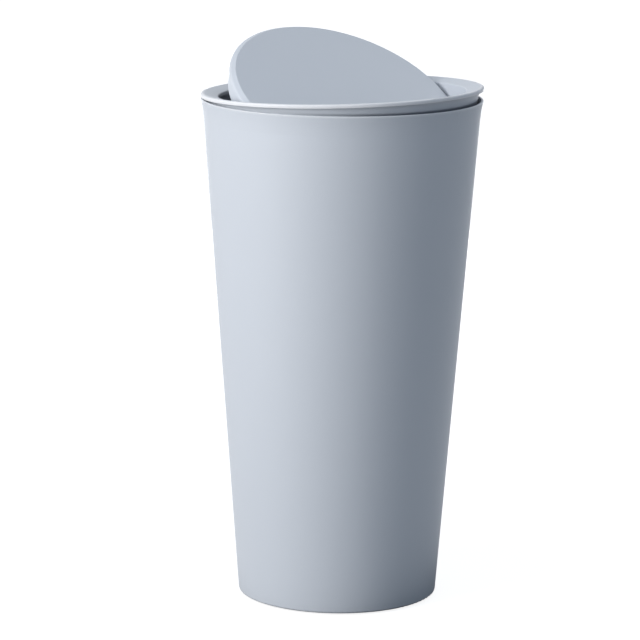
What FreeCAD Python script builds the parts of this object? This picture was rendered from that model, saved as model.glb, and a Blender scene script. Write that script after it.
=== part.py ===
import FreeCAD, Part
import os
import re
import Sketcher

# A mini waste bin: a tapered bucket, a lid ring that lifts out of its mouth and a round flap
# that swings in the ring. Millimetres, +Z up, origin on the table under the middle of the bin.
# The flap turns about a line along X, and its push side lies towards -Y.

SIZES = (
    # Bin body: a straight taper with a slight flare at the rim
    ("bin_height", 224.2),
    ("rim_radius", 62.0),
    ("base_radius", 44.6),
    ("bin_wall", 2.0),
    ("floor_thickness", 2.2),
    ("seat_ledge", 1.0),
    ("rim_flare", 0.7),
    ("rim_flare_height", 9.0),
    ("rim_edge_radius", 0.3),
    ("base_edge_radius", 1.0),
    ("floor_edge_radius", 5.0),
    ("base_recess_depth", 0.8),
    # Foot pads, let into the base
    ("pad_radius", 6.0),
    ("pad_thickness", 1.6),
    ("pad_proud", 0.8),
    ("pad_margin", 3.6),
    ("pad_chamfer", 0.3),
    ("pad_clearance", 0.1),
    ("pad_heading", 45.0),
    # Lid ring: a neck inside the bin's mouth under a slanted lip and shelf
    ("lid_seat_depth", 14.0),
    ("skirt_wall", 1.5),
    ("mouth_gap", 1.7),
    ("seat_clearance", 0.4),
    ("neck_flare_angle", 12.0),
    ("slant_angle", 2.15),
    ("slant_heading", 22.5),
    ("lip_gap", 0.05),
    ("lip_overhang", 0.9),
    ("lip_drop", 1.7),
    ("lip_undercut", 0.2),
    ("lip_crest_width", 1.6),
    ("lip_crest_blend", 1.2),
    ("lip_edge_radius", 0.8),
    ("lip_foot_edge_radius", 0.15),
    ("shelf_reach", 3.5),
    ("shelf_thickness", 1.6),
    ("shelf_edge_radius", 0.6),
    ("opening_drop", 1.6),
    # Pivot ears on the ring, and the soft flanged bushes in them
    ("pivot_drop", 9.05),
    ("ear_thickness", 2.0),
    ("ear_foot_width", 40.0),
    ("ear_root_width", 76.0),
    ("ear_foot_drop", 5.8),
    ("ear_corner_radius", 4.0),
    ("boss_wall", 2.2),
    ("bush_wall", 1.3),
    ("bush_length", 3.6),
    ("bush_clearance", 0.05),
    ("flange_width", 1.2),
    ("flange_thickness", 0.6),
    ("spotface_margin", 0.3),
    # Pivot pins
    ("pin_radius", 1.6),
    ("pin_fit", 0.03),
    ("pin_seat_clearance", 0.01),
    ("pin_chamfer", 0.4),
    ("pin_boss_radius", 2.6),
    ("pin_boss_length", 6.0),
    ("pin_boss_end", 1.5),
    ("thrust_gap", 0.3),
    # Flap: a cap with a bevelled rim over a tray with a narrower wall
    ("flap_angle", 32.7),
    ("flap_gap", 1.0),
    ("flap_depth", 10.2),
    ("cap_wall", 1.8),
    ("cap_rim_wall", 1.2),
    ("cap_rim_height", 3.3),
    ("cap_bevel_width", 2.0),
    ("cap_bevel_height", 1.5),
    ("cap_face_edge_radius", 0.6),
    ("cap_bevel_edge_radius", 1.0),
    ("cap_foot_edge_radius", 0.4),
    ("spigot_wall", 1.2),
    ("boss_gap", 1.3),
    ("tray_wall", 1.6),
    ("tray_draft", 0.15),
    ("tray_clearance", 0.1),
    ("tray_edge_radius", 1.0),
    # How far cutting shapes run past what they cut
    ("overrun", 5.0),
)
NAMES = {name for name, size in SIZES}
FULL_TURN = 360
HALF_TURN = 180
QUARTER_TURN = 90
PAD_COUNT = 4
MATCH_TOLERANCE = 1e-4
# How far the neck and the ears reach up into the shelf, as a share of its thickness
ROOT_SHARE = 0.35
# How far the pivot bosses reach into the neck, as a share of its wall
BOSS_ROOT_SHARE = 0.5


def wall_radius(height):
    """Outer radius of the bin's straight wall at a height over its base."""
    return f"(base_radius + (rim_radius - base_radius) * ({height}) / bin_height)"


# Sizes that follow from the ones above
RIM_WALL = "(bin_wall - seat_ledge)"
RIM_PLANE = "(pad_proud + bin_height)"
PAD_RING_RADIUS = "(base_radius - base_edge_radius - pad_margin - pad_radius)"
SEAT_HEIGHT = "(bin_height - lid_seat_depth)"
SEAT_WALL_RADIUS = f"({wall_radius(SEAT_HEIGHT)} - {RIM_WALL})"
MOUTH_RADIUS = f"(rim_radius + rim_flare - {RIM_WALL})"
NECK_RADIUS = f"({MOUTH_RADIUS} - mouth_gap)"
LIP_RADIUS = "(rim_radius + lip_overhang)"
LIP_FOOT_RADIUS = f"({LIP_RADIUS} - lip_undercut)"
LIP_HEIGHT = f"(lip_gap + lip_drop * cos(slant_angle) + {LIP_FOOT_RADIUS} * sin(slant_angle))"
NECK_RISE = f"(2 * {LIP_HEIGHT})"
NECK_HEIGHT = f"(lid_seat_depth + {NECK_RISE})"
NECK_FOOT_RADIUS = f"({SEAT_WALL_RADIUS} - seat_clearance)"
NECK_TOP_RADIUS = f"({NECK_RADIUS} + tan(neck_flare_angle) * {NECK_RISE})"
SHELF_ROOT_RADIUS = f"({NECK_RADIUS} - skirt_wall)"
OPENING_RADIUS = f"({SHELF_ROOT_RADIUS} - shelf_reach)"
BUSH_RADIUS = "(pin_radius + pin_fit + bush_wall)"
FLANGE_RADIUS = f"({BUSH_RADIUS} + flange_width)"
FLAP_RADIUS = f"({OPENING_RADIUS} - flap_gap)"
FLAP_RISE = "(cap_rim_height + boss_gap + pin_boss_radius)"
FLAP_FOOT = f"({FLAP_RISE} - flap_depth)"
CAP_UNDERSIDE = f"({FLAP_RISE} - cap_wall)"
CAP_RIM_FOOT = f"({FLAP_RISE} - cap_rim_height)"
TRAY_RADIUS = f"({FLAP_RADIUS} - cap_rim_wall - tray_clearance)"
TRAY_FOOT_RADIUS = f"({TRAY_RADIUS} - tray_draft)"
SPIGOT_RADIUS = f"({TRAY_RADIUS} - tray_wall - tray_clearance)"
PIN_BOSS_START = f"({TRAY_RADIUS} - tray_wall - pin_boss_length)"
PIN_BOSS_FACE = f"({OPENING_RADIUS} - flange_thickness - thrust_gap)"
PIN_START = f"({PIN_BOSS_START} + pin_boss_end)"
BUSH_END = f"({OPENING_RADIUS} + bush_length)"

# Frames: the lid's slanted one, the pivot's below it, and the flap's as it stands part-way open
UPRIGHT = "rotation(vector(0; 0; 1); 0)"
SLANT = "rotation(vector(-cos(slant_heading); -sin(slant_heading); 0); slant_angle)"
LID_FRAME = f"placement(vector(0; 0; {RIM_PLANE} + {LIP_HEIGHT}); {SLANT})"
PIVOT_FRAME = f"{LID_FRAME} * placement(vector(0; 0; -pivot_drop); {UPRIGHT})"
FLAP_TURN = "placement(vector(0; 0; 0); rotation(vector(1; 0; 0); flap_angle))"
FLAP_FRAME = f"{PIVOT_FRAME} * {FLAP_TURN}"
SIDES = {
    "right": f"placement(vector(0; 0; 0); {UPRIGHT})",
    "left": f"placement(vector(0; 0; 0); rotation(vector(0; 0; 1); {HALF_TURN}))",
}

os.makedirs("parts", exist_ok=True)
doc = FreeCAD.newDocument("mini_waste_bin")
sheet = doc.addObject("Spreadsheet::Sheet", "Sizes")
for row, (size_name, size) in enumerate(SIZES, start=1):
    sheet.set(f"A{row}", size_name)
    sheet.set(f"B{row}", str(size))
    sheet.setAlias(f"B{row}", size_name)
doc.recompute()


def value(formula):
    """The number that a formula of the sheet's sizes comes to."""
    return float(sheet.evalExpression(formula))


def bind(item, prop, formula):
    """Ties a property to a formula of the sheet's sizes."""
    def full(word):
        return "Sizes." + word[0] if word[0] in NAMES else word[0]
    item.setExpression(prop, re.sub(r"[a-z]\w*", full, formula))


def sketch_on(body, role, name):
    """An empty sketch on one of the body's own origin planes."""
    sketch = body.newObject("Sketcher::SketchObject", name)
    plane = next(item for item in body.Origin.OriginFeatures if item.Role == role)
    sketch.AttachmentSupport = [(plane, "")]
    sketch.MapMode = "FlatFace"
    return sketch


def hold(sketch, geometry, point, place):
    """Ties a point of the sketch to formulas for its two coordinates."""
    for kind, formula in zip(("DistanceX", "DistanceY"), place):
        constraint = Sketcher.Constraint(kind, -1, 1, geometry, point, value(formula))
        number = sketch.addConstraint(constraint)
        bind(sketch, f"Constraints[{number}]", formula)


def smooth_arc(before, start, end):
    """The arc from start to end that carries on smoothly from the line before it."""
    run = start.sub(before).normalize()
    normal = FreeCAD.Vector(-run.y, run.x, 0)
    chord = end.sub(start)
    radius = chord.dot(chord) / (2 * chord.dot(normal))
    centre = start + normal * radius
    circle = Part.Circle(centre, FreeCAD.Vector(0, 0, 1), abs(radius))
    ends = (start, end) if radius > 0 else (end, start)
    return Part.ArcOfCircle(circle, *[circle.parameter(point) for point in ends])


def draw_outline(sketch, corners, curved=()):
    """A closed outline, each corner tied to its formulas. Stretches are straight, but a stretch
    whose first corner is in curved is an arc that leaves the line before it smoothly."""
    points = [FreeCAD.Vector(value(across), value(up), 0) for across, up in corners]
    ends = []
    for number, start in enumerate(points):
        end = points[(number + 1) % len(points)]
        stretch = Part.LineSegment(start, end)
        if corners[number] in curved:
            stretch = smooth_arc(points[number - 1], start, end)
        sketch.addGeometry(stretch)
        forward = sketch.Geometry[number].StartPoint.isEqual(start, MATCH_TOLERANCE)
        ends.append((1, 2) if forward else (2, 1))
    for number, corner in enumerate(corners):
        before = (number - 1) % len(corners)
        kind = "Tangent" if corner in curved else "Coincident"
        joint = (before, ends[before][1], number, ends[number][0])
        sketch.addConstraint(Sketcher.Constraint(kind, *joint))
        hold(sketch, number, ends[number][0], corner)


def turn(label, corners, axis="V_Axis", curved=()):
    """A body turned about the sketch's upright (V_Axis) or level (H_Axis) line."""
    body = doc.addObject("PartDesign::Body", label)
    sketch = sketch_on(body, "XZ_Plane", label + "_outline")
    draw_outline(sketch, corners, curved)
    turning = body.newObject("PartDesign::Revolution", label + "_turning")
    turning.Profile = sketch
    turning.ReferenceAxis = (sketch, [axis])
    turning.Angle = FULL_TURN
    doc.recompute()
    return body


def round_edges(body, radius, chosen):
    """Rounds the edges of a body that a test picks out."""
    tip = body.Tip
    names = [f"Edge{number}" for number, edge in enumerate(tip.Shape.Edges, start=1) if chosen(edge)]
    fillet = body.newObject("PartDesign::Fillet", f"{body.Name}_{radius}")
    fillet.Base = (tip, names)
    bind(fillet, "Radius", radius)
    doc.recompute()


def ring_at(radius, height):
    """Picks out the level ring-shaped edge with this radius at this height."""
    def chosen(edge):
        if not isinstance(edge.Curve, Part.Circle):
            return False
        right_radius = abs(edge.Curve.Radius - value(radius)) < MATCH_TOLERANCE
        return right_radius and abs(edge.Curve.Center.z - value(height)) < MATCH_TOLERANCE
    return chosen


def rod(label, frame, start, end, radius):
    """A round bar along the frame's X, from one place on it to another."""
    bar = doc.addObject("Part::Cylinder", label)
    bind(bar, "Radius", radius)
    bind(bar, "Height", f"{end} - {start}")
    along = f"placement(vector({start}; 0; 0); rotation(vector(0; 1; 0); {QUARTER_TURN}))"
    bind(bar, "Placement", f"{frame} * {along}")
    return bar


def join(label, shapes):
    """Several solids fused into one."""
    joined = doc.addObject("Part::MultiFuse", label)
    joined.Shapes = shapes
    return joined


def cut(label, base, tool):
    """One solid less another."""
    less = doc.addObject("Part::Cut", label)
    less.Base = base
    less.Tool = tool
    return less


def make_bin_body():
    """The bucket: tapered wall, a ledge inside that seats the lid, and a flat base."""
    flare = "bin_height - rim_flare_height"
    flare_start = (wall_radius(flare), flare)
    recess = f"({PAD_RING_RADIUS} - pad_radius - pad_margin)"
    body = turn("bin_body", (
        ("0", "base_recess_depth"),
        (recess, "base_recess_depth"),
        (recess, "0"),
        ("base_radius", "0"),
        flare_start,
        ("rim_radius + rim_flare", "bin_height"),
        (MOUTH_RADIUS, "bin_height"),
        (f"{wall_radius(flare)} - {RIM_WALL}", flare),
        (SEAT_WALL_RADIUS, SEAT_HEIGHT),
        (f"{wall_radius(SEAT_HEIGHT)} - bin_wall", SEAT_HEIGHT),
        (f"{wall_radius('floor_thickness')} - bin_wall", "floor_thickness"),
        ("0", "floor_thickness"),
    ), curved=(flare_start,))
    round_edges(body, "rim_edge_radius", ring_at("rim_radius + rim_flare", "bin_height"))
    round_edges(body, "base_edge_radius", ring_at("base_radius", "0"))
    inner_floor = f"{wall_radius('floor_thickness')} - bin_wall"
    round_edges(body, "floor_edge_radius", ring_at(inner_floor, "floor_thickness"))
    cut_pad_recesses(body)
    bind(body, "Placement.Base.z", "pad_proud")


def cut_pad_recesses(body):
    """The shallow round recesses in the base that hold the foot pads."""
    sketch = sketch_on(body, "XY_Plane", "pad_recess_outline")
    place = (f"{PAD_RING_RADIUS} * cos(pad_heading)", f"{PAD_RING_RADIUS} * sin(pad_heading)")
    centre = FreeCAD.Vector(value(place[0]), value(place[1]), 0)
    radius = "pad_radius + pad_clearance"
    sketch.addGeometry(Part.Circle(centre, FreeCAD.Vector(0, 0, 1), value(radius)))
    hold(sketch, 0, 3, place)
    number = sketch.addConstraint(Sketcher.Constraint("Radius", 0, value(radius)))
    bind(sketch, f"Constraints[{number}]", radius)
    pocket = body.newObject("PartDesign::Pocket", "pad_recess")
    pocket.Profile = sketch
    pocket.Reversed = True
    bind(pocket, "Length", "pad_thickness - pad_proud")
    pattern = body.newObject("PartDesign::PolarPattern", "pad_recesses")
    pattern.Originals = [pocket]
    upright = next(item for item in body.Origin.OriginFeatures if item.Role == "Z_Axis")
    pattern.Axis = (upright, [""])
    pattern.Angle = FULL_TURN
    pattern.Occurrences = PAD_COUNT
    body.Tip = pattern


def make_foot_pads():
    """Four round pads that stand a little proud of the base."""
    for number in range(PAD_COUNT):
        pad = turn(f"foot_pad_{number + 1}", (
            ("0", "0"),
            ("pad_radius - pad_chamfer", "0"),
            ("pad_radius", "pad_chamfer"),
            ("pad_radius", "pad_thickness"),
            ("0", "pad_thickness"),
        ))
        heading = f"(pad_heading + {number} * {FULL_TURN} / {PAD_COUNT})"
        bind(pad, "Placement.Base.x", f"{PAD_RING_RADIUS} * cos({heading})")
        bind(pad, "Placement.Base.y", f"{PAD_RING_RADIUS} * sin({heading})")


def make_lid_head():
    """The slanted lip, with the shelf that slopes down from it to the opening."""
    lip_shoulder = f"{LIP_RADIUS} - lip_crest_width"
    head = turn("lid_head", (
        (OPENING_RADIUS, "-opening_drop"),
        (lip_shoulder, "0"),
        (LIP_RADIUS, "0"),
        (LIP_FOOT_RADIUS, "-lip_drop"),
        (SHELF_ROOT_RADIUS, "-lip_drop"),
        (OPENING_RADIUS, "-opening_drop - shelf_thickness"),
    ))
    round_edges(head, "lip_edge_radius", ring_at(LIP_RADIUS, "0"))
    round_edges(head, "lip_crest_blend", ring_at(lip_shoulder, "0"))
    round_edges(head, "lip_foot_edge_radius", ring_at(LIP_FOOT_RADIUS, "-lip_drop"))
    round_edges(head, "shelf_edge_radius", ring_at(OPENING_RADIUS, "-opening_drop"))
    bind(head, "Placement", LID_FRAME)
    return head


def neck_side(inset):
    """Corners of the neck's side from its foot to its top, set in from its outside."""
    return (
        (f"{NECK_FOOT_RADIUS} - {inset}", "0"),
        (f"{NECK_RADIUS} - {inset}", "lid_seat_depth"),
        (f"{NECK_TOP_RADIUS} - {inset}", NECK_HEIGHT),
    )


def make_lid_neck():
    """The neck: upright in the bin's mouth, flared over it and trimmed to the slanted lip."""
    neck = turn("lid_neck", neck_side("0") + neck_side("skirt_wall")[::-1])
    bind(neck, "Placement.Base.z", f"{RIM_PLANE} - lid_seat_depth")
    trim = doc.addObject("Part::Cylinder", "lid_neck_trim")
    bind(trim, "Radius", f"{LIP_RADIUS} + overrun")
    bind(trim, "Height", f"{LIP_HEIGHT} + lid_seat_depth")
    trim_drop = f"(lip_drop - shelf_thickness * {ROOT_SHARE})"
    bind(trim, "Placement", f"{LID_FRAME} * placement(vector(0; 0; -{trim_drop}); {UPRIGHT})")
    return cut("lid_neck_trimmed", neck, trim)


def make_lid_ears():
    """Two tabs that hang from the shelf at the pivot's ends."""
    foot = "(-pivot_drop - ear_foot_drop)"
    root = f"(-opening_drop - shelf_thickness * {ROOT_SHARE})"
    outer = f"{OPENING_RADIUS} + ear_thickness"
    collar = turn("ear_collar", (
        (OPENING_RADIUS, foot),
        (outer, foot),
        (outer, root),
        (OPENING_RADIUS, root),
    ))
    bind(collar, "Placement", LID_FRAME)
    body = doc.addObject("PartDesign::Body", "ear_shape")
    sketch = sketch_on(body, "YZ_Plane", "ear_outline")
    draw_outline(sketch, (
        ("-ear_foot_width / 2", foot),
        ("ear_foot_width / 2", foot),
        ("ear_root_width / 2", root),
        ("-ear_root_width / 2", root),
    ))
    pad = body.newObject("PartDesign::Pad", "ear_block")
    pad.Profile = sketch
    pad.Midplane = True
    bind(pad, "Length", "2 * rim_radius")
    doc.recompute()

    def foot_corner(edge):
        low = abs(edge.CenterOfMass.z - value(foot)) < MATCH_TOLERANCE
        return low and abs(edge.CenterOfMass.x) < MATCH_TOLERANCE and edge.Length > value("rim_radius")
    round_edges(body, "ear_corner_radius", foot_corner)
    bind(body, "Placement", LID_FRAME)
    ears = doc.addObject("Part::Common", "lid_ears")
    ears.Base = collar
    ears.Tool = body
    return ears


def make_pivot_bosses():
    """Round bosses from the ears into the neck's wall, whose slope their ends follow."""
    root = f"skirt_wall * (1 - {BOSS_ROOT_SHARE})"
    core = turn("boss_limit", (("0", "0"),) + neck_side(root) + (("0", NECK_HEIGHT),))
    bind(core, "Placement.Base.z", f"{RIM_PLANE} - lid_seat_depth")
    ear_middle = f"({OPENING_RADIUS} + ear_thickness / 2)"
    bosses = doc.addObject("Part::Common", "pivot_bosses")
    bosses.Base = join("boss_rods", [
        rod(f"boss_{side}", f"{PIVOT_FRAME} * {frame}", ear_middle, LIP_RADIUS,
            f"{BUSH_RADIUS} + boss_wall")
        for side, frame in SIDES.items()
    ])
    bosses.Tool = core
    return bosses


def make_lid_ring():
    """Head, neck, ears and pivot bosses as one moulding, bored for the bushes."""
    solids = [make_lid_head(), make_lid_neck(), make_lid_ears(), make_pivot_bosses()]
    bores = []
    for side, frame in SIDES.items():
        place = f"{PIVOT_FRAME} * {frame}"
        bores.append(rod(f"bush_bore_{side}", place, f"({OPENING_RADIUS} - overrun)",
                         f"({LIP_RADIUS} + overrun)", f"{BUSH_RADIUS} + bush_clearance"))
        bores.append(rod(f"spotface_{side}", place, f"({OPENING_RADIUS} - overrun)",
                         OPENING_RADIUS, f"{FLANGE_RADIUS} + spotface_margin"))
    cut("lid_ring", join("lid_ring_solid", solids), join("lid_ring_bores", bores))


def make_bushes():
    """Soft flanged bushes in the ears, which the pins turn in with a light drag."""
    bore = "(pin_radius + pin_fit)"
    flange_face = f"({OPENING_RADIUS} - flange_thickness)"
    for side, frame in SIDES.items():
        bush = turn(f"pivot_bush_{side}", (
            (flange_face, bore),
            (flange_face, FLANGE_RADIUS),
            (OPENING_RADIUS, FLANGE_RADIUS),
            (OPENING_RADIUS, BUSH_RADIUS),
            (BUSH_END, BUSH_RADIUS),
            (BUSH_END, bore),
        ), axis="H_Axis")
        bind(bush, "Placement", f"{PIVOT_FRAME} * {frame}")


def make_pins():
    """The pins that carry the flap, seated in its tray and turning in the bushes."""
    for side, frame in SIDES.items():
        pin = turn(f"pivot_pin_{side}", (
            (PIN_START, "0"),
            (BUSH_END, "0"),
            (BUSH_END, "pin_radius - pin_chamfer"),
            (f"{BUSH_END} - pin_chamfer", "pin_radius"),
            (f"{PIN_START} + pin_chamfer", "pin_radius"),
            (PIN_START, "pin_radius - pin_chamfer"),
        ), axis="H_Axis")
        bind(pin, "Placement", f"{FLAP_FRAME} * {frame}")


def make_flap_cap():
    """The flap's face, with a bevelled rim that overhangs the tray and a spigot inside it."""
    face_edge = f"{FLAP_RADIUS} - cap_bevel_width"
    bevel_foot = f"{FLAP_RISE} - cap_bevel_height"
    rim_inside = f"{FLAP_RADIUS} - cap_rim_wall"
    spigot_inside = f"{SPIGOT_RADIUS} - spigot_wall"
    cap = turn("flap_cap", (
        ("0", FLAP_RISE),
        (face_edge, FLAP_RISE),
        (FLAP_RADIUS, bevel_foot),
        (FLAP_RADIUS, CAP_RIM_FOOT),
        (rim_inside, CAP_RIM_FOOT),
        (rim_inside, CAP_UNDERSIDE),
        (SPIGOT_RADIUS, CAP_UNDERSIDE),
        (SPIGOT_RADIUS, CAP_RIM_FOOT),
        (spigot_inside, CAP_RIM_FOOT),
        (spigot_inside, CAP_UNDERSIDE),
        ("0", CAP_UNDERSIDE),
    ))
    round_edges(cap, "cap_face_edge_radius", ring_at(face_edge, FLAP_RISE))
    round_edges(cap, "cap_bevel_edge_radius", ring_at(FLAP_RADIUS, bevel_foot))
    round_edges(cap, "cap_foot_edge_radius", ring_at(FLAP_RADIUS, CAP_RIM_FOOT))
    bind(cap, "Placement", FLAP_FRAME)


def make_flap_tray():
    """The flap's underside: a shallow tray under the cap, with bosses for the pins."""
    floor = f"{FLAP_FOOT} + tray_wall"
    tray = turn("tray_shell", (
        ("0", FLAP_FOOT),
        (TRAY_FOOT_RADIUS, FLAP_FOOT),
        (TRAY_RADIUS, CAP_UNDERSIDE),
        (f"{TRAY_RADIUS} - tray_wall", CAP_UNDERSIDE),
        (f"{TRAY_FOOT_RADIUS} - tray_wall", floor),
        ("0", floor),
    ))
    round_edges(tray, "tray_edge_radius", ring_at(TRAY_FOOT_RADIUS, FLAP_FOOT))
    bind(tray, "Placement", FLAP_FRAME)
    solids = [tray]
    bores = []
    for side, frame in SIDES.items():
        place = f"{FLAP_FRAME} * {frame}"
        solids.append(rod(f"pin_boss_{side}", place, PIN_BOSS_START, PIN_BOSS_FACE, "pin_boss_radius"))
        bores.append(rod(f"pin_bore_{side}", place, PIN_START, f"({PIN_BOSS_FACE} + overrun)",
                         "pin_radius + pin_seat_clearance"))
    cut("flap_tray", join("flap_tray_solid", solids), join("flap_tray_bores", bores))


def write_parts(labels):
    """Checks every object, then writes each sub-part to its own file."""
    doc.recompute()
    failed = [item.Name for item in doc.Objects if {"Invalid", "Error"} & set(item.State)]
    if failed:
        raise RuntimeError("objects that failed: " + ", ".join(failed))
    shapes = {label: doc.getObjectsByLabel(label)[0].Shape for label in labels}
    for label, shape in shapes.items():
        if shape.isNull() or not shape.isValid() or len(shape.Solids) != 1:
            raise RuntimeError(f"{label} isn't one valid solid")
    for label, shape in shapes.items():
        shape.exportStep(f"parts/{label}.step")
        print(label, round(shape.Volume), "mm3")


make_bin_body()
make_foot_pads()
make_lid_ring()
make_bushes()
make_pins()
make_flap_cap()
make_flap_tray()
write_parts(
    ["bin_body", "lid_ring", "flap_cap", "flap_tray"]
    + [f"foot_pad_{number + 1}" for number in range(PAD_COUNT)]
    + [f"pivot_{piece}_{side}" for piece in ("bush", "pin") for side in SIDES]
)
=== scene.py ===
# %% [markdown]
# # A mini waste bin in satin plastic
# The bin is a tapered bucket, a lid ring that drops into its mouth and a round flap that swings
# in the ring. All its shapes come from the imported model, so this lesson gives it what a drawing
# lacks: a camera, a studio and surfaces that look like moulded plastic, rubber and steel.

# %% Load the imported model
import math

import bpy
from mathutils import Matrix, Vector

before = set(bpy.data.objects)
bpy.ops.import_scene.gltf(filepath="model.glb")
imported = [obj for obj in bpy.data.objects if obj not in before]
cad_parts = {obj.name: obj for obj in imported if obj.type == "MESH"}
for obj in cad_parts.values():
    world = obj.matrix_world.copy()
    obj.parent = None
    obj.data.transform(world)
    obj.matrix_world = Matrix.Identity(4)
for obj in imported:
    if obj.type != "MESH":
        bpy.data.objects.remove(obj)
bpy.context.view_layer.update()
bpy.ops.object.select_all(action="DESELECT")
print("nodes:", ", ".join(sorted(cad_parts)))

# %% [markdown]
# ## The camera
# The picture looks at the bin from a little above, with a long lens, so the bin's sides hardly
# lean. The camera could be pointed with a Track To constraint. Here its three axes are worked out
# and written into its matrix, because that also holds the slight roll of the picture.

# %% Point the camera
HEADING = math.radians(37.9)
ELEVATION = math.radians(11.083)
ROLL = math.radians(0.563)
DISTANCE = 1.5
AIM_SIDE = -0.008857
AIM_HEIGHT = 0.124655
PICTURE_PIXELS = 640
FOCAL_PIXELS = 3340.745
SENSOR_WIDTH = 36.0

SIDEWAYS = Vector((math.cos(HEADING), -math.sin(HEADING), 0))
AWAY = Vector((math.sin(HEADING), math.cos(HEADING), 0))
UPRIGHT = Vector((0, 0, 1))


def point_camera():
    """Makes the camera, with a lens and a place that match the picture."""
    aim = SIDEWAYS * AIM_SIDE + UPRIGHT * AIM_HEIGHT
    back = UPRIGHT * math.sin(ELEVATION) - AWAY * math.cos(ELEVATION)
    level_up = UPRIGHT * math.cos(ELEVATION) + AWAY * math.sin(ELEVATION)
    right = SIDEWAYS * math.cos(ROLL) + level_up * math.sin(ROLL)
    up = level_up * math.cos(ROLL) - SIDEWAYS * math.sin(ROLL)
    bpy.ops.object.camera_add()
    camera = bpy.context.object
    camera.name = "picture_camera"
    axes = Matrix((right, up, back)).transposed().to_4x4()
    camera.matrix_world = Matrix.Translation(aim + back * DISTANCE) @ axes
    camera.data.sensor_width = SENSOR_WIDTH
    camera.data.lens = FOCAL_PIXELS / PICTURE_PIXELS * SENSOR_WIDTH
    return camera


bpy.context.scene.camera = point_camera()
bpy.context.scene.view_settings.view_transform = "Standard"
print("lens", round(bpy.context.scene.camera.data.lens, 1), "mm")

# %% [markdown]
# ## Nodes without clicking
# Every material below is a small tree of shader nodes. They could be clicked together in the
# Shader Editor. In a script, one helper adds a node, sets its options and either writes a value
# into each input or links another node's output to it, so that a material reads like a recipe.

# %% Helpers for nodes
MIX_INPUTS = (0, 6, 7)
MIX_RESULT = 2


def add(tree, kind, inputs=None, **options):
    """Adds a shader node. An input that is given a socket is linked, any other is set."""
    made = tree.nodes.new("ShaderNode" + kind)
    for name, option in options.items():
        setattr(made, name, option)
    for name, content in (inputs or {}).items():
        if isinstance(content, bpy.types.NodeSocket):
            tree.links.new(content, made.inputs[name])
        else:
            made.inputs[name].default_value = content
    return made


def math_node(tree, operation, first, second=0.0, **options):
    """A sum, product or other operation on two values."""
    return add(tree, "Math", {0: first, 1: second}, operation=operation, **options).outputs[0]


def mix_colour(tree, share, first, second):
    """A colour that goes from the first to the second as the share goes from 0 to 1."""
    inputs = dict(zip(MIX_INPUTS, (share, first, second)))
    return add(tree, "Mix", inputs, data_type="RGBA").outputs[MIX_RESULT]


def map_range(tree, value, start, end, low, high, blend="LINEAR"):
    """A value carried from one range to another, and held at its ends."""
    inputs = {"Value": value, "From Min": start, "From Max": end, "To Min": low, "To Max": high}
    return add(tree, "MapRange", inputs, interpolation_type=blend).outputs[0]


def noise(tree, place, scale, detail, roughness):
    """A cloudy pattern from 0 to 1."""
    inputs = {"Vector": place, "Scale": scale, "Detail": detail, "Roughness": roughness}
    return add(tree, "TexNoise", inputs).outputs[0]


def object_place(tree):
    """Where a point is on its own piece, which moves with the piece."""
    return add(tree, "TexCoord").outputs["Object"]


def new_material(name):
    """An empty material with its output node."""
    material = bpy.data.materials.new(name)
    material.use_nodes = True
    material.node_tree.nodes.clear()
    return material, add(material.node_tree, "OutputMaterial")


print("helpers ready")

# %% [markdown]
# ## The white studio
# The bin stands on white with no horizon. The floor could be a bent backdrop. One wide disc is
# simpler: for the camera it is mostly a white that gives its own light, with a share of plain
# diffuse so that it keeps the shadow under the bin. The share fades out a little way from the
# bin, where floor and background become one. So much white would also light the bin's foot from
# below. So a patch of the floor there, on the side away from the lamps, is dark for every ray but
# the camera's, as it would be in the bin's own shade.

# %% Floor and background
FLOOR_RADIUS = 6.0
FLOOR_SIDES = 96
FLOOR_COLOUR = (0.3, 0.3, 0.3, 1)
WHITE = (1, 1, 1, 1)
BLACK = (0, 0, 0, 1)
NEAR_GLOW = 0.88
FAR_GLOW = 1.0
FADE_START = 0.1
FADE_END = 0.3
SHADE_HEADING = 123
SHADE_OFFSET = 0.02
SHADE_START = 0.044
SHADE_END = 0.084


def level_direction(heading):
    """A level direction from the bin. Heading 0 is to the camera, and a minus is to its left."""
    turn = math.radians(heading)
    return SIDEWAYS * math.sin(turn) - AWAY * math.cos(turn)


def seen_directly(tree):
    """1 for rays that show the background itself: seen, mirrored or through glass."""
    path = add(tree, "LightPath").outputs
    mirrored = math_node(tree, "MAXIMUM", path["Is Glossy Ray"], path["Is Transmission Ray"])
    return math_node(tree, "MAXIMUM", path["Is Camera Ray"], mirrored)


def lit_share(tree, place):
    """1 for the camera. For other rays it falls to 0 in the shade at the bin's foot."""
    ends = {0: place, 1: level_direction(SHADE_HEADING) * SHADE_OFFSET}
    distance = add(tree, "VectorMath", ends, operation="DISTANCE").outputs["Value"]
    lit = map_range(tree, distance, SHADE_START, SHADE_END, 0.0, 1.0, "SMOOTHSTEP")
    return math_node(tree, "MAXIMUM", lit, add(tree, "LightPath").outputs["Is Camera Ray"])


def floor_finish():
    """A white that gives its own light, with a share of diffuse that keeps the shadow."""
    material, output = new_material("studio_white")
    tree = material.node_tree
    place = object_place(tree)
    distance = add(tree, "VectorMath", {0: place}, operation="LENGTH").outputs["Value"]
    fade = map_range(tree, distance, FADE_START, FADE_END, NEAR_GLOW, FAR_GLOW, "SMOOTHSTEP")
    lit = lit_share(tree, place)
    shown = math_node(tree, "MULTIPLY", lit, seen_directly(tree))
    strength = math_node(tree, "MULTIPLY", fade, shown)
    diffuse = add(tree, "BsdfDiffuse", {"Color": mix_colour(tree, lit, BLACK, FLOOR_COLOUR)})
    glow = add(tree, "Emission", {"Color": WHITE, "Strength": strength})
    both = add(tree, "AddShader", {0: diffuse.outputs[0], 1: glow.outputs[0]})
    tree.links.new(both.outputs[0], output.inputs["Surface"])
    return material


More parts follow.
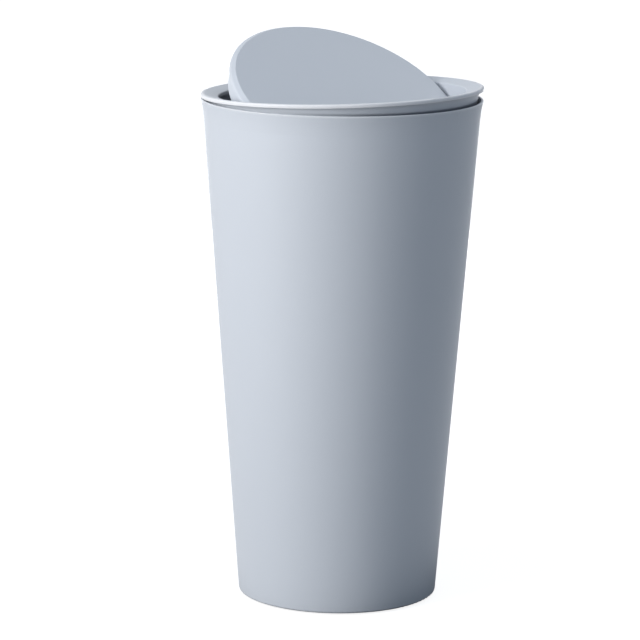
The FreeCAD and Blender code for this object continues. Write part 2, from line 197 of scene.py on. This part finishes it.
def make_floor():
    """A wide disc under the bin, which isn't part of it."""
    bpy.ops.mesh.primitive_circle_add(vertices=FLOOR_SIDES, radius=FLOOR_RADIUS, fill_type="NGON")
    floor = bpy.context.object
    floor.name = "studio_floor"
    floor.data.materials.append(floor_finish())


make_floor()
print("floor", FLOOR_RADIUS * 2, "m across")

# %% [markdown]
# ## Soft light from the left
# The bin is lit like a catalogue picture. Two soft boxes stand on the left, a strong low one for
# the wall and a weaker high one for the lip and the shelf. A dim one in front fills the flap, and
# a dim one behind lights the shelf. A low strip behind lights the bin's back from below the lid,
# where the shelf can't mirror it, and an even bluish light from all round keeps the right side
# from going dark. Lamps could be aimed by hand, but a heading and a height, counted from the
# camera's side, are easier to read.

# %% Lamps and ambient light
AMBIENT = (0.264, 0.326, 0.408, 1)
LAMP_TARGET = Vector((0, 0, 0.13))
LAMP_WHITE = (1, 1, 1)
# Heading and height are in degrees, distance, width and tallness in metres, power in watts
LAMPS = (
    dict(name="left_box", heading=-57, height=16, distance=1.0, width=0.5, tallness=0.5, power=6.46),
    dict(name="high_box", heading=-57, height=45, distance=1.0, width=0.5, tallness=0.5, power=2.06),
    dict(name="front_box", heading=-10, height=35, distance=1.0, width=0.7, tallness=0.7, power=0.87),
    dict(name="back_box", heading=145, height=45, distance=0.7, width=0.4, tallness=0.4, power=0.65),
    dict(name="rear_strip", heading=180, height=-1.5, distance=1.0, width=0.8, tallness=0.16, power=1.8),
)


def hang_lamp(name, heading, height, distance, width, tallness, power):
    """A soft box that shines at the bin's middle."""
    rise = math.radians(height)
    towards = level_direction(heading) * math.cos(rise) + UPRIGHT * math.sin(rise)
    bpy.ops.object.light_add(type="AREA", location=LAMP_TARGET + towards * distance)
    lamp = bpy.context.object
    lamp.name = name
    lamp.rotation_euler = towards.to_track_quat("Z", "Y").to_euler()
    lamp.data.shape = "RECTANGLE"
    lamp.data.size = width
    lamp.data.size_y = tallness
    lamp.data.energy = power
    lamp.data.color = LAMP_WHITE


def make_ambient():
    """A world that is white where it is seen, and a dim even light elsewhere."""
    world = bpy.data.worlds.new("studio")
    world.use_nodes = True
    tree = world.node_tree
    tree.nodes.clear()
    colour = mix_colour(tree, seen_directly(tree), AMBIENT, WHITE)
    background = add(tree, "Background", {"Color": colour})
    output = add(tree, "OutputWorld")
    tree.links.new(background.outputs[0], output.inputs["Surface"])
    bpy.context.scene.world = world


for lamp_values in LAMPS:
    hang_lamp(**lamp_values)
make_ambient()
print(len(LAMPS), "soft boxes")

# %% [markdown]
# ## Grain, painted highlights, painted shade and dust as shared effects
# Moulded plastic is never one flat colour. Its surface copies the fine grain of the mould, the colour
# drifts a little where the melt flowed, and dust settles on top. A painted highlight makes the edges and
# the lip paler, and painted shade darkens the seam under the lid. They could be painted as pictures.
# Here each effect is a node group, built once and placed in every material with its own values.

# %% A helper for node groups
def new_group(name, inputs, outputs):
    """An empty node group with named value inputs and outputs."""
    group = bpy.data.node_groups.new(name, "ShaderNodeTree")
    for label in inputs:
        group.interface.new_socket(name=label, in_out="INPUT", socket_type="NodeSocketFloat")
    for label in outputs:
        group.interface.new_socket(name=label, in_out="OUTPUT", socket_type="NodeSocketFloat")
    given = group.nodes.new("NodeGroupInput").outputs
    return group, given, group.nodes.new("NodeGroupOutput").inputs


def use_group(tree, group, **values):
    """Places a group in a material with that material's own values."""
    made = tree.nodes.new("ShaderNodeGroup")
    made.node_tree = group
    for label, content in values.items():
        made.inputs[label.replace("_", " ").title()].default_value = content
    return made.outputs


print("group helpers ready")

# %% Moulded grain
GRAIN_DETAIL = 3.0
GRAIN_ROUGHNESS = 0.6
DRIFT_DETAIL = 2.0
DRIFT_ROUGHNESS = 0.5


def make_grain_group():
    """Fine pits of the mould's texture, and the slow drift of colour along the flow."""
    group, given, result = new_group(
        "moulded_grain", ("Grain Scale", "Drift Scale"), ("Height", "Drift"))
    place = object_place(group)
    fine = noise(group, place, given["Grain Scale"], GRAIN_DETAIL, GRAIN_ROUGHNESS)
    drift = noise(group, place, given["Drift Scale"], DRIFT_DETAIL, DRIFT_ROUGHNESS)
    group.links.new(fine, result["Height"])
    group.links.new(drift, result["Drift"])
    return group


grain_group = make_grain_group()
print("group", grain_group.name)

# %% Polished edges with a painted highlight
EDGE_SAMPLES = 6


def make_edge_polish_and_highlight_group():
    """A mask of edges, where a rounded normal leaves the true one, for polish and a painted highlight.
    """
    group, given, result = new_group("polished_edges_painted_highlight", ("Width", "Gain"), ("Mask",))
    rounded = add(group, "Bevel", {"Radius": given["Width"]}, samples=EDGE_SAMPLES)
    true_normal = add(group, "NewGeometry").outputs["Normal"]
    both = {0: rounded.outputs[0], 1: true_normal}
    agree = add(group, "VectorMath", both, operation="DOT_PRODUCT").outputs["Value"]
    apart = math_node(group, "SUBTRACT", 1.0, agree)
    gained = math_node(group, "MULTIPLY", apart, given["Gain"], use_clamp=True)
    group.links.new(gained, result["Mask"])
    return group


edge_polish_and_highlight_group = make_edge_polish_and_highlight_group()
print("group", edge_polish_and_highlight_group.name)

# %% Painted highlight on the rims
LEVEL_PART = (1, 1, 0)
HIGHLIGHT_PATCH_SCALE = 45.0
HIGHLIGHT_DETAIL = 3.0
HIGHLIGHT_ROUGHNESS = 0.6
LEAST_HIGHLIGHT_SHARE = 0.75


def outside_radius(group, place, start, blend):
    """A mask of what stands further from the bin's middle line than a radius."""
    level = add(group, "VectorMath", {0: place, 1: LEVEL_PART}, operation="MULTIPLY").outputs[0]
    radius = add(group, "VectorMath", {0: level}, operation="LENGTH").outputs["Value"]
    end = math_node(group, "ADD", start, blend)
    return map_range(group, radius, start, end, 0.0, 1.0, "SMOOTHSTEP")


def make_rim_highlight_group():
    """A mask of the outermost band of a piece, for a patchy painted highlight."""
    group, given, result = new_group("painted_rim_highlight", ("Radius", "Blend", "Amount"), ("Mask",))
    place = object_place(group)
    outer = outside_radius(group, place, given["Radius"], given["Blend"])
    patches = noise(group, place, HIGHLIGHT_PATCH_SCALE, HIGHLIGHT_DETAIL, HIGHLIGHT_ROUGHNESS)
    uneven = map_range(group, patches, 0.0, 1.0, LEAST_HIGHLIGHT_SHARE, 1.0)
    amount = math_node(group, "MULTIPLY", uneven, given["Amount"])
    group.links.new(math_node(group, "MULTIPLY", outer, amount), result["Mask"])
    return group


rim_highlight_group = make_rim_highlight_group()
print("group", rim_highlight_group.name)

# %% Painted shade in the seam
SEAM_SAMPLES = 8
# The lip stands highest over the rim on this side, and the seam's painted shade is made darkest there
OPEN_SIDE = (0.3827, -0.9239, 0)
OPEN_START = -0.006
OPEN_END = 0.062


def make_seam_shade_group():
    """A mask of painted shade: what the walls round it shut in, outside a radius and up to a height."""
    group, given, result = new_group(
        "painted_seam_shade", ("Reach", "Radius", "Height", "Blend", "Amount"), ("Mask",))
    place = object_place(group)
    near = add(group, "AmbientOcclusion", {"Distance": given["Reach"]}, samples=SEAM_SAMPLES)
    shut_in = math_node(group, "SUBTRACT", 1.0, near.outputs["AO"])
    height = add(group, "SeparateXYZ", {0: place}).outputs["Z"]
    clean_height = math_node(group, "ADD", given["Height"], given["Blend"])
    below = map_range(group, height, given["Height"], clean_height, 1.0, 0.0, "SMOOTHSTEP")
    outer = outside_radius(group, place, given["Radius"], given["Blend"])
    sides = {0: place, 1: OPEN_SIDE}
    aside = add(group, "VectorMath", sides, operation="DOT_PRODUCT").outputs["Value"]
    shade_side = map_range(group, aside, OPEN_START, OPEN_END, 0.0, 1.0, "SMOOTHSTEP")
    painted_shade = shut_in
    for share in (below, outer, shade_side):
        painted_shade = math_node(group, "MULTIPLY", painted_shade, share)
    gained = math_node(group, "MULTIPLY", painted_shade, given["Amount"], use_clamp=True)
    group.links.new(gained, result["Mask"])
    return group


seam_shade_group = make_seam_shade_group()
print("group", seam_shade_group.name)

# %% Settled dust
DUST_DETAIL = 4.0
DUST_ROUGHNESS = 0.65
DUST_SLOPE = 0.5


def make_dust_group():
    """A thin patchy film on what faces up."""
    group, given, result = new_group("settled_dust", ("Patch Scale", "Amount"), ("Mask",))
    normal = add(group, "NewGeometry").outputs["Normal"]
    facing = add(group, "SeparateXYZ", {0: normal}).outputs["Z"]
    upward = map_range(group, facing, DUST_SLOPE, 1.0, 0.0, 1.0)
    patches = noise(group, object_place(group), given["Patch Scale"], DUST_DETAIL, DUST_ROUGHNESS)
    film = math_node(group, "MULTIPLY", upward, patches)
    group.links.new(math_node(group, "MULTIPLY", film, given["Amount"]), result["Mask"])
    return group


dust_group = make_dust_group()
print("group", dust_group.name)

# %% [markdown]
# ## Satin plastic
# Bucket, lid ring and flap are moulded from the same pale blue-grey plastic. One material would do, but
# the pieces differ: the large bucket shows more drift, the bucket's rim and the lip of the ring get a
# painted highlight, the lid ring gets painted shade in its seam, and the flap's edges get a stronger
# painted highlight. So one function makes the plastic, and each piece gets its own values. A Principled
# shader carries it, and the groups drive its colour, roughness and bump.

# %% What all materials share
ROUGHNESS_SPREAD = 0.05
GRAIN_STRENGTH = 0.25
GRAIN_DEPTH = 0.00004
DUST_COLOUR = (0.72, 0.72, 0.71, 1)


def shade(colour, factor):
    """A colour made lighter or darker, with its alpha."""
    return (*[part * factor for part in colour], 1)


def drifted(tree, drift, colour, spread):
    """The piece's colour, a little lighter and darker from place to place."""
    return mix_colour(tree, drift, shade(colour, 1 - spread), shade(colour, 1 + spread))


def drifted_gloss(tree, drift, roughness, spread):
    """The piece's roughness, a little higher and lower from place to place."""
    return map_range(tree, drift, 0.0, 1.0, roughness - spread, roughness + spread)


def grain_bump(tree, height):
    """The shallow bump of a surface."""
    inputs = {"Strength": GRAIN_STRENGTH, "Distance": GRAIN_DEPTH, "Height": height}
    return add(tree, "Bump", inputs).outputs[0]


def finish_surface(material, output, **inputs):
    """Puts a Principled shader at the end of a material."""
    tree = material.node_tree
    surface = add(tree, "BsdfPrincipled", {
        label.replace("_", " "): content for label, content in inputs.items()})
    tree.links.new(surface.outputs[0], output.inputs["Surface"])
    return material


def dress(material, *nodes):
    """Gives CAD nodes a material in place of the one they came with."""
    for name in nodes:
        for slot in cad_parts[name].material_slots:
            slot.material = material
    print(material.name, "on", ", ".join(nodes))


print("surface helpers ready")

# %% Plastic for the bucket, the lid ring and the flap
PLASTIC_COLOUR = (0.577, 0.60, 0.637)
PLASTIC_DRIFT = 0.014
PLASTIC_IOR = 1.46
PLASTIC_GRAIN_SCALE = 1400.0
PLASTIC_DUST_SCALE = 60.0
PLASTIC_DUST = 0.1
# A pale colour that paints a highlight on the edges, the rims and the lip
PAINTED_HIGHLIGHT_COLOUR = (0.79, 0.78, 0.785, 1)
EDGE_WIDTH = 0.0012
EDGE_GAIN = 4.0
EDGE_POLISH = 0.12
# A dark blue that paints shade into the seam under the lip
PAINTED_SEAM_SHADE_COLOUR = (0.035, 0.045, 0.07, 1)
RIM_HIGHLIGHT = dict(radius=0.06235, blend=0.0006, amount=1.0)
LIP_HIGHLIGHT = dict(radius=0.0606, blend=0.0012, amount=1.0)
LID_SEAM_SHADE = dict(reach=0.004, radius=0.058, height=0.2253, blend=0.001, amount=1.7)
SHELL = dict(roughness=0.52, drift_scale=14.0, edge_highlight_share=0.35, rim_highlight=RIM_HIGHLIGHT)
LID = dict(roughness=0.48, drift_scale=22.0, edge_highlight_share=0.35, rim_highlight=LIP_HIGHLIGHT, seam_shade=LID_SEAM_SHADE)
FLAP = dict(roughness=0.5, drift_scale=20.0, edge_highlight_share=0.8)


def make_plastic(name, roughness, drift_scale, edge_highlight_share, rim_highlight=None, seam_shade=None):
    """A moulded plastic whose colour and gloss drift a little, with painted highlights, painted shade in
    the seam and dust on it.
    """
    material, output = new_material(name)
    tree = material.node_tree
    grain = use_group(tree, grain_group, grain_scale=PLASTIC_GRAIN_SCALE, drift_scale=drift_scale)
    edges = use_group(tree, edge_polish_and_highlight_group, width=EDGE_WIDTH, gain=EDGE_GAIN)["Mask"]
    # A painted highlight on the edges, strongest on the flap
    layers = [(math_node(tree, "MULTIPLY", edges, edge_highlight_share), PAINTED_HIGHLIGHT_COLOUR)]
    # Painted shade in the seam under the lip
    if seam_shade:
        layers.append((use_group(tree, seam_shade_group, **seam_shade)["Mask"], PAINTED_SEAM_SHADE_COLOUR))
    # A painted highlight on the lip or the rim
    if rim_highlight:
        layers.append((use_group(tree, rim_highlight_group, **rim_highlight)["Mask"], PAINTED_HIGHLIGHT_COLOUR))
    film = use_group(tree, dust_group, patch_scale=PLASTIC_DUST_SCALE, amount=PLASTIC_DUST)
    layers.append((film["Mask"], DUST_COLOUR))
    colour = drifted(tree, grain["Drift"], PLASTIC_COLOUR, PLASTIC_DRIFT)
    for mask, tone in layers:
        colour = mix_colour(tree, mask, colour, tone)
    gloss = drifted_gloss(tree, grain["Drift"], roughness, ROUGHNESS_SPREAD)
    polish = math_node(tree, "MULTIPLY", edges, EDGE_POLISH)
    return finish_surface(
        material, output, Base_Color=colour, Normal=grain_bump(tree, grain["Height"]),
        Roughness=math_node(tree, "SUBTRACT", gloss, polish), IOR=PLASTIC_IOR)


dress(make_plastic("shell_satin", **SHELL), "bin_body")
dress(make_plastic("lid_satin", **LID), "lid_ring")
dress(make_plastic("flap_satin", **FLAP), "flap_cap", "flap_tray")

# %% [markdown]
# ## Rubber pads and bushes
# The pads under the base and the bushes round the pins are soft rubber. It is dark, dull and
# slightly cloudy, with a coarser skin than the plastic. The plastic's function could be used
# with dark colours, but rubber doesn't polish at its edges, so it has a shorter one of its own.

# %% Rubber
RUBBER_IOR = 1.52
RUBBER_GRAIN_SCALE = 2200.0
RUBBER_DRIFT_SCALE = 160.0
RUBBER_DUST_SCALE = 300.0
RUBBER_DUST = 0.15
PAD = dict(colour=(0.32, 0.34, 0.37), roughness=0.85, drift=0.08)
BUSH = dict(colour=(0.2, 0.21, 0.23), roughness=0.8, drift=0.1)
PAD_COUNT = 4


def make_rubber(name, colour, roughness, drift):
    """A dull rubber with a cloudy colour and a coarse skin."""
    material, output = new_material(name)
    tree = material.node_tree
    grain = use_group(tree, grain_group, grain_scale=RUBBER_GRAIN_SCALE,
                      drift_scale=RUBBER_DRIFT_SCALE)
    film = use_group(tree, dust_group, patch_scale=RUBBER_DUST_SCALE, amount=RUBBER_DUST)
    base = drifted(tree, grain["Drift"], colour, drift)
    return finish_surface(
        material, output, Base_Color=mix_colour(tree, film["Mask"], base, DUST_COLOUR),
        Roughness=drifted_gloss(tree, grain["Drift"], roughness, ROUGHNESS_SPREAD),
        Normal=grain_bump(tree, grain["Height"]), IOR=RUBBER_IOR)


pads = [f"foot_pad_{number}" for number in range(1, PAD_COUNT + 1)]
dress(make_rubber("pad_rubber_dull", **PAD), *pads)
dress(make_rubber("bush_rubber_dull", **BUSH), "pivot_bush_left", "pivot_bush_right")

# %% [markdown]
# ## Drawn steel pins
# The pins are cut from drawn wire, so fine lines run along them. Anisotropy would give their
# sheen. A noise that is stretched along the pins gives the lines themselves, in the colour, the
# roughness and a very shallow bump.

# %% Steel
STEEL_COLOUR = (0.62, 0.63, 0.65)
STEEL_ROUGHNESS = 0.32
STEEL_SPREAD = 0.1
LINE_STRETCH = (60.0, 4000.0, 4000.0)
LINE_SCALE = 1.0
LINE_DETAIL = 2.0
LINE_ROUGHNESS = 0.5


def make_steel(name):
    """Drawn steel with lines along X, which the pins lie along."""
    material, output = new_material(name)
    tree = material.node_tree
    stretch = {"Vector": object_place(tree), "Scale": LINE_STRETCH}
    stretched = add(tree, "Mapping", stretch).outputs[0]
    lines = noise(tree, stretched, LINE_SCALE, LINE_DETAIL, LINE_ROUGHNESS)
    return finish_surface(
        material, output, Base_Color=drifted(tree, lines, STEEL_COLOUR, STEEL_SPREAD),
        Roughness=drifted_gloss(tree, lines, STEEL_ROUGHNESS, STEEL_SPREAD),
        Normal=grain_bump(tree, lines), Metallic=1.0)


dress(make_steel("pin_steel_drawn"), "pivot_pin_left", "pivot_pin_right")

# %% [markdown]
# ## The end
# The last line says that the scene is ready.

# %% Finish
print("scene ready")
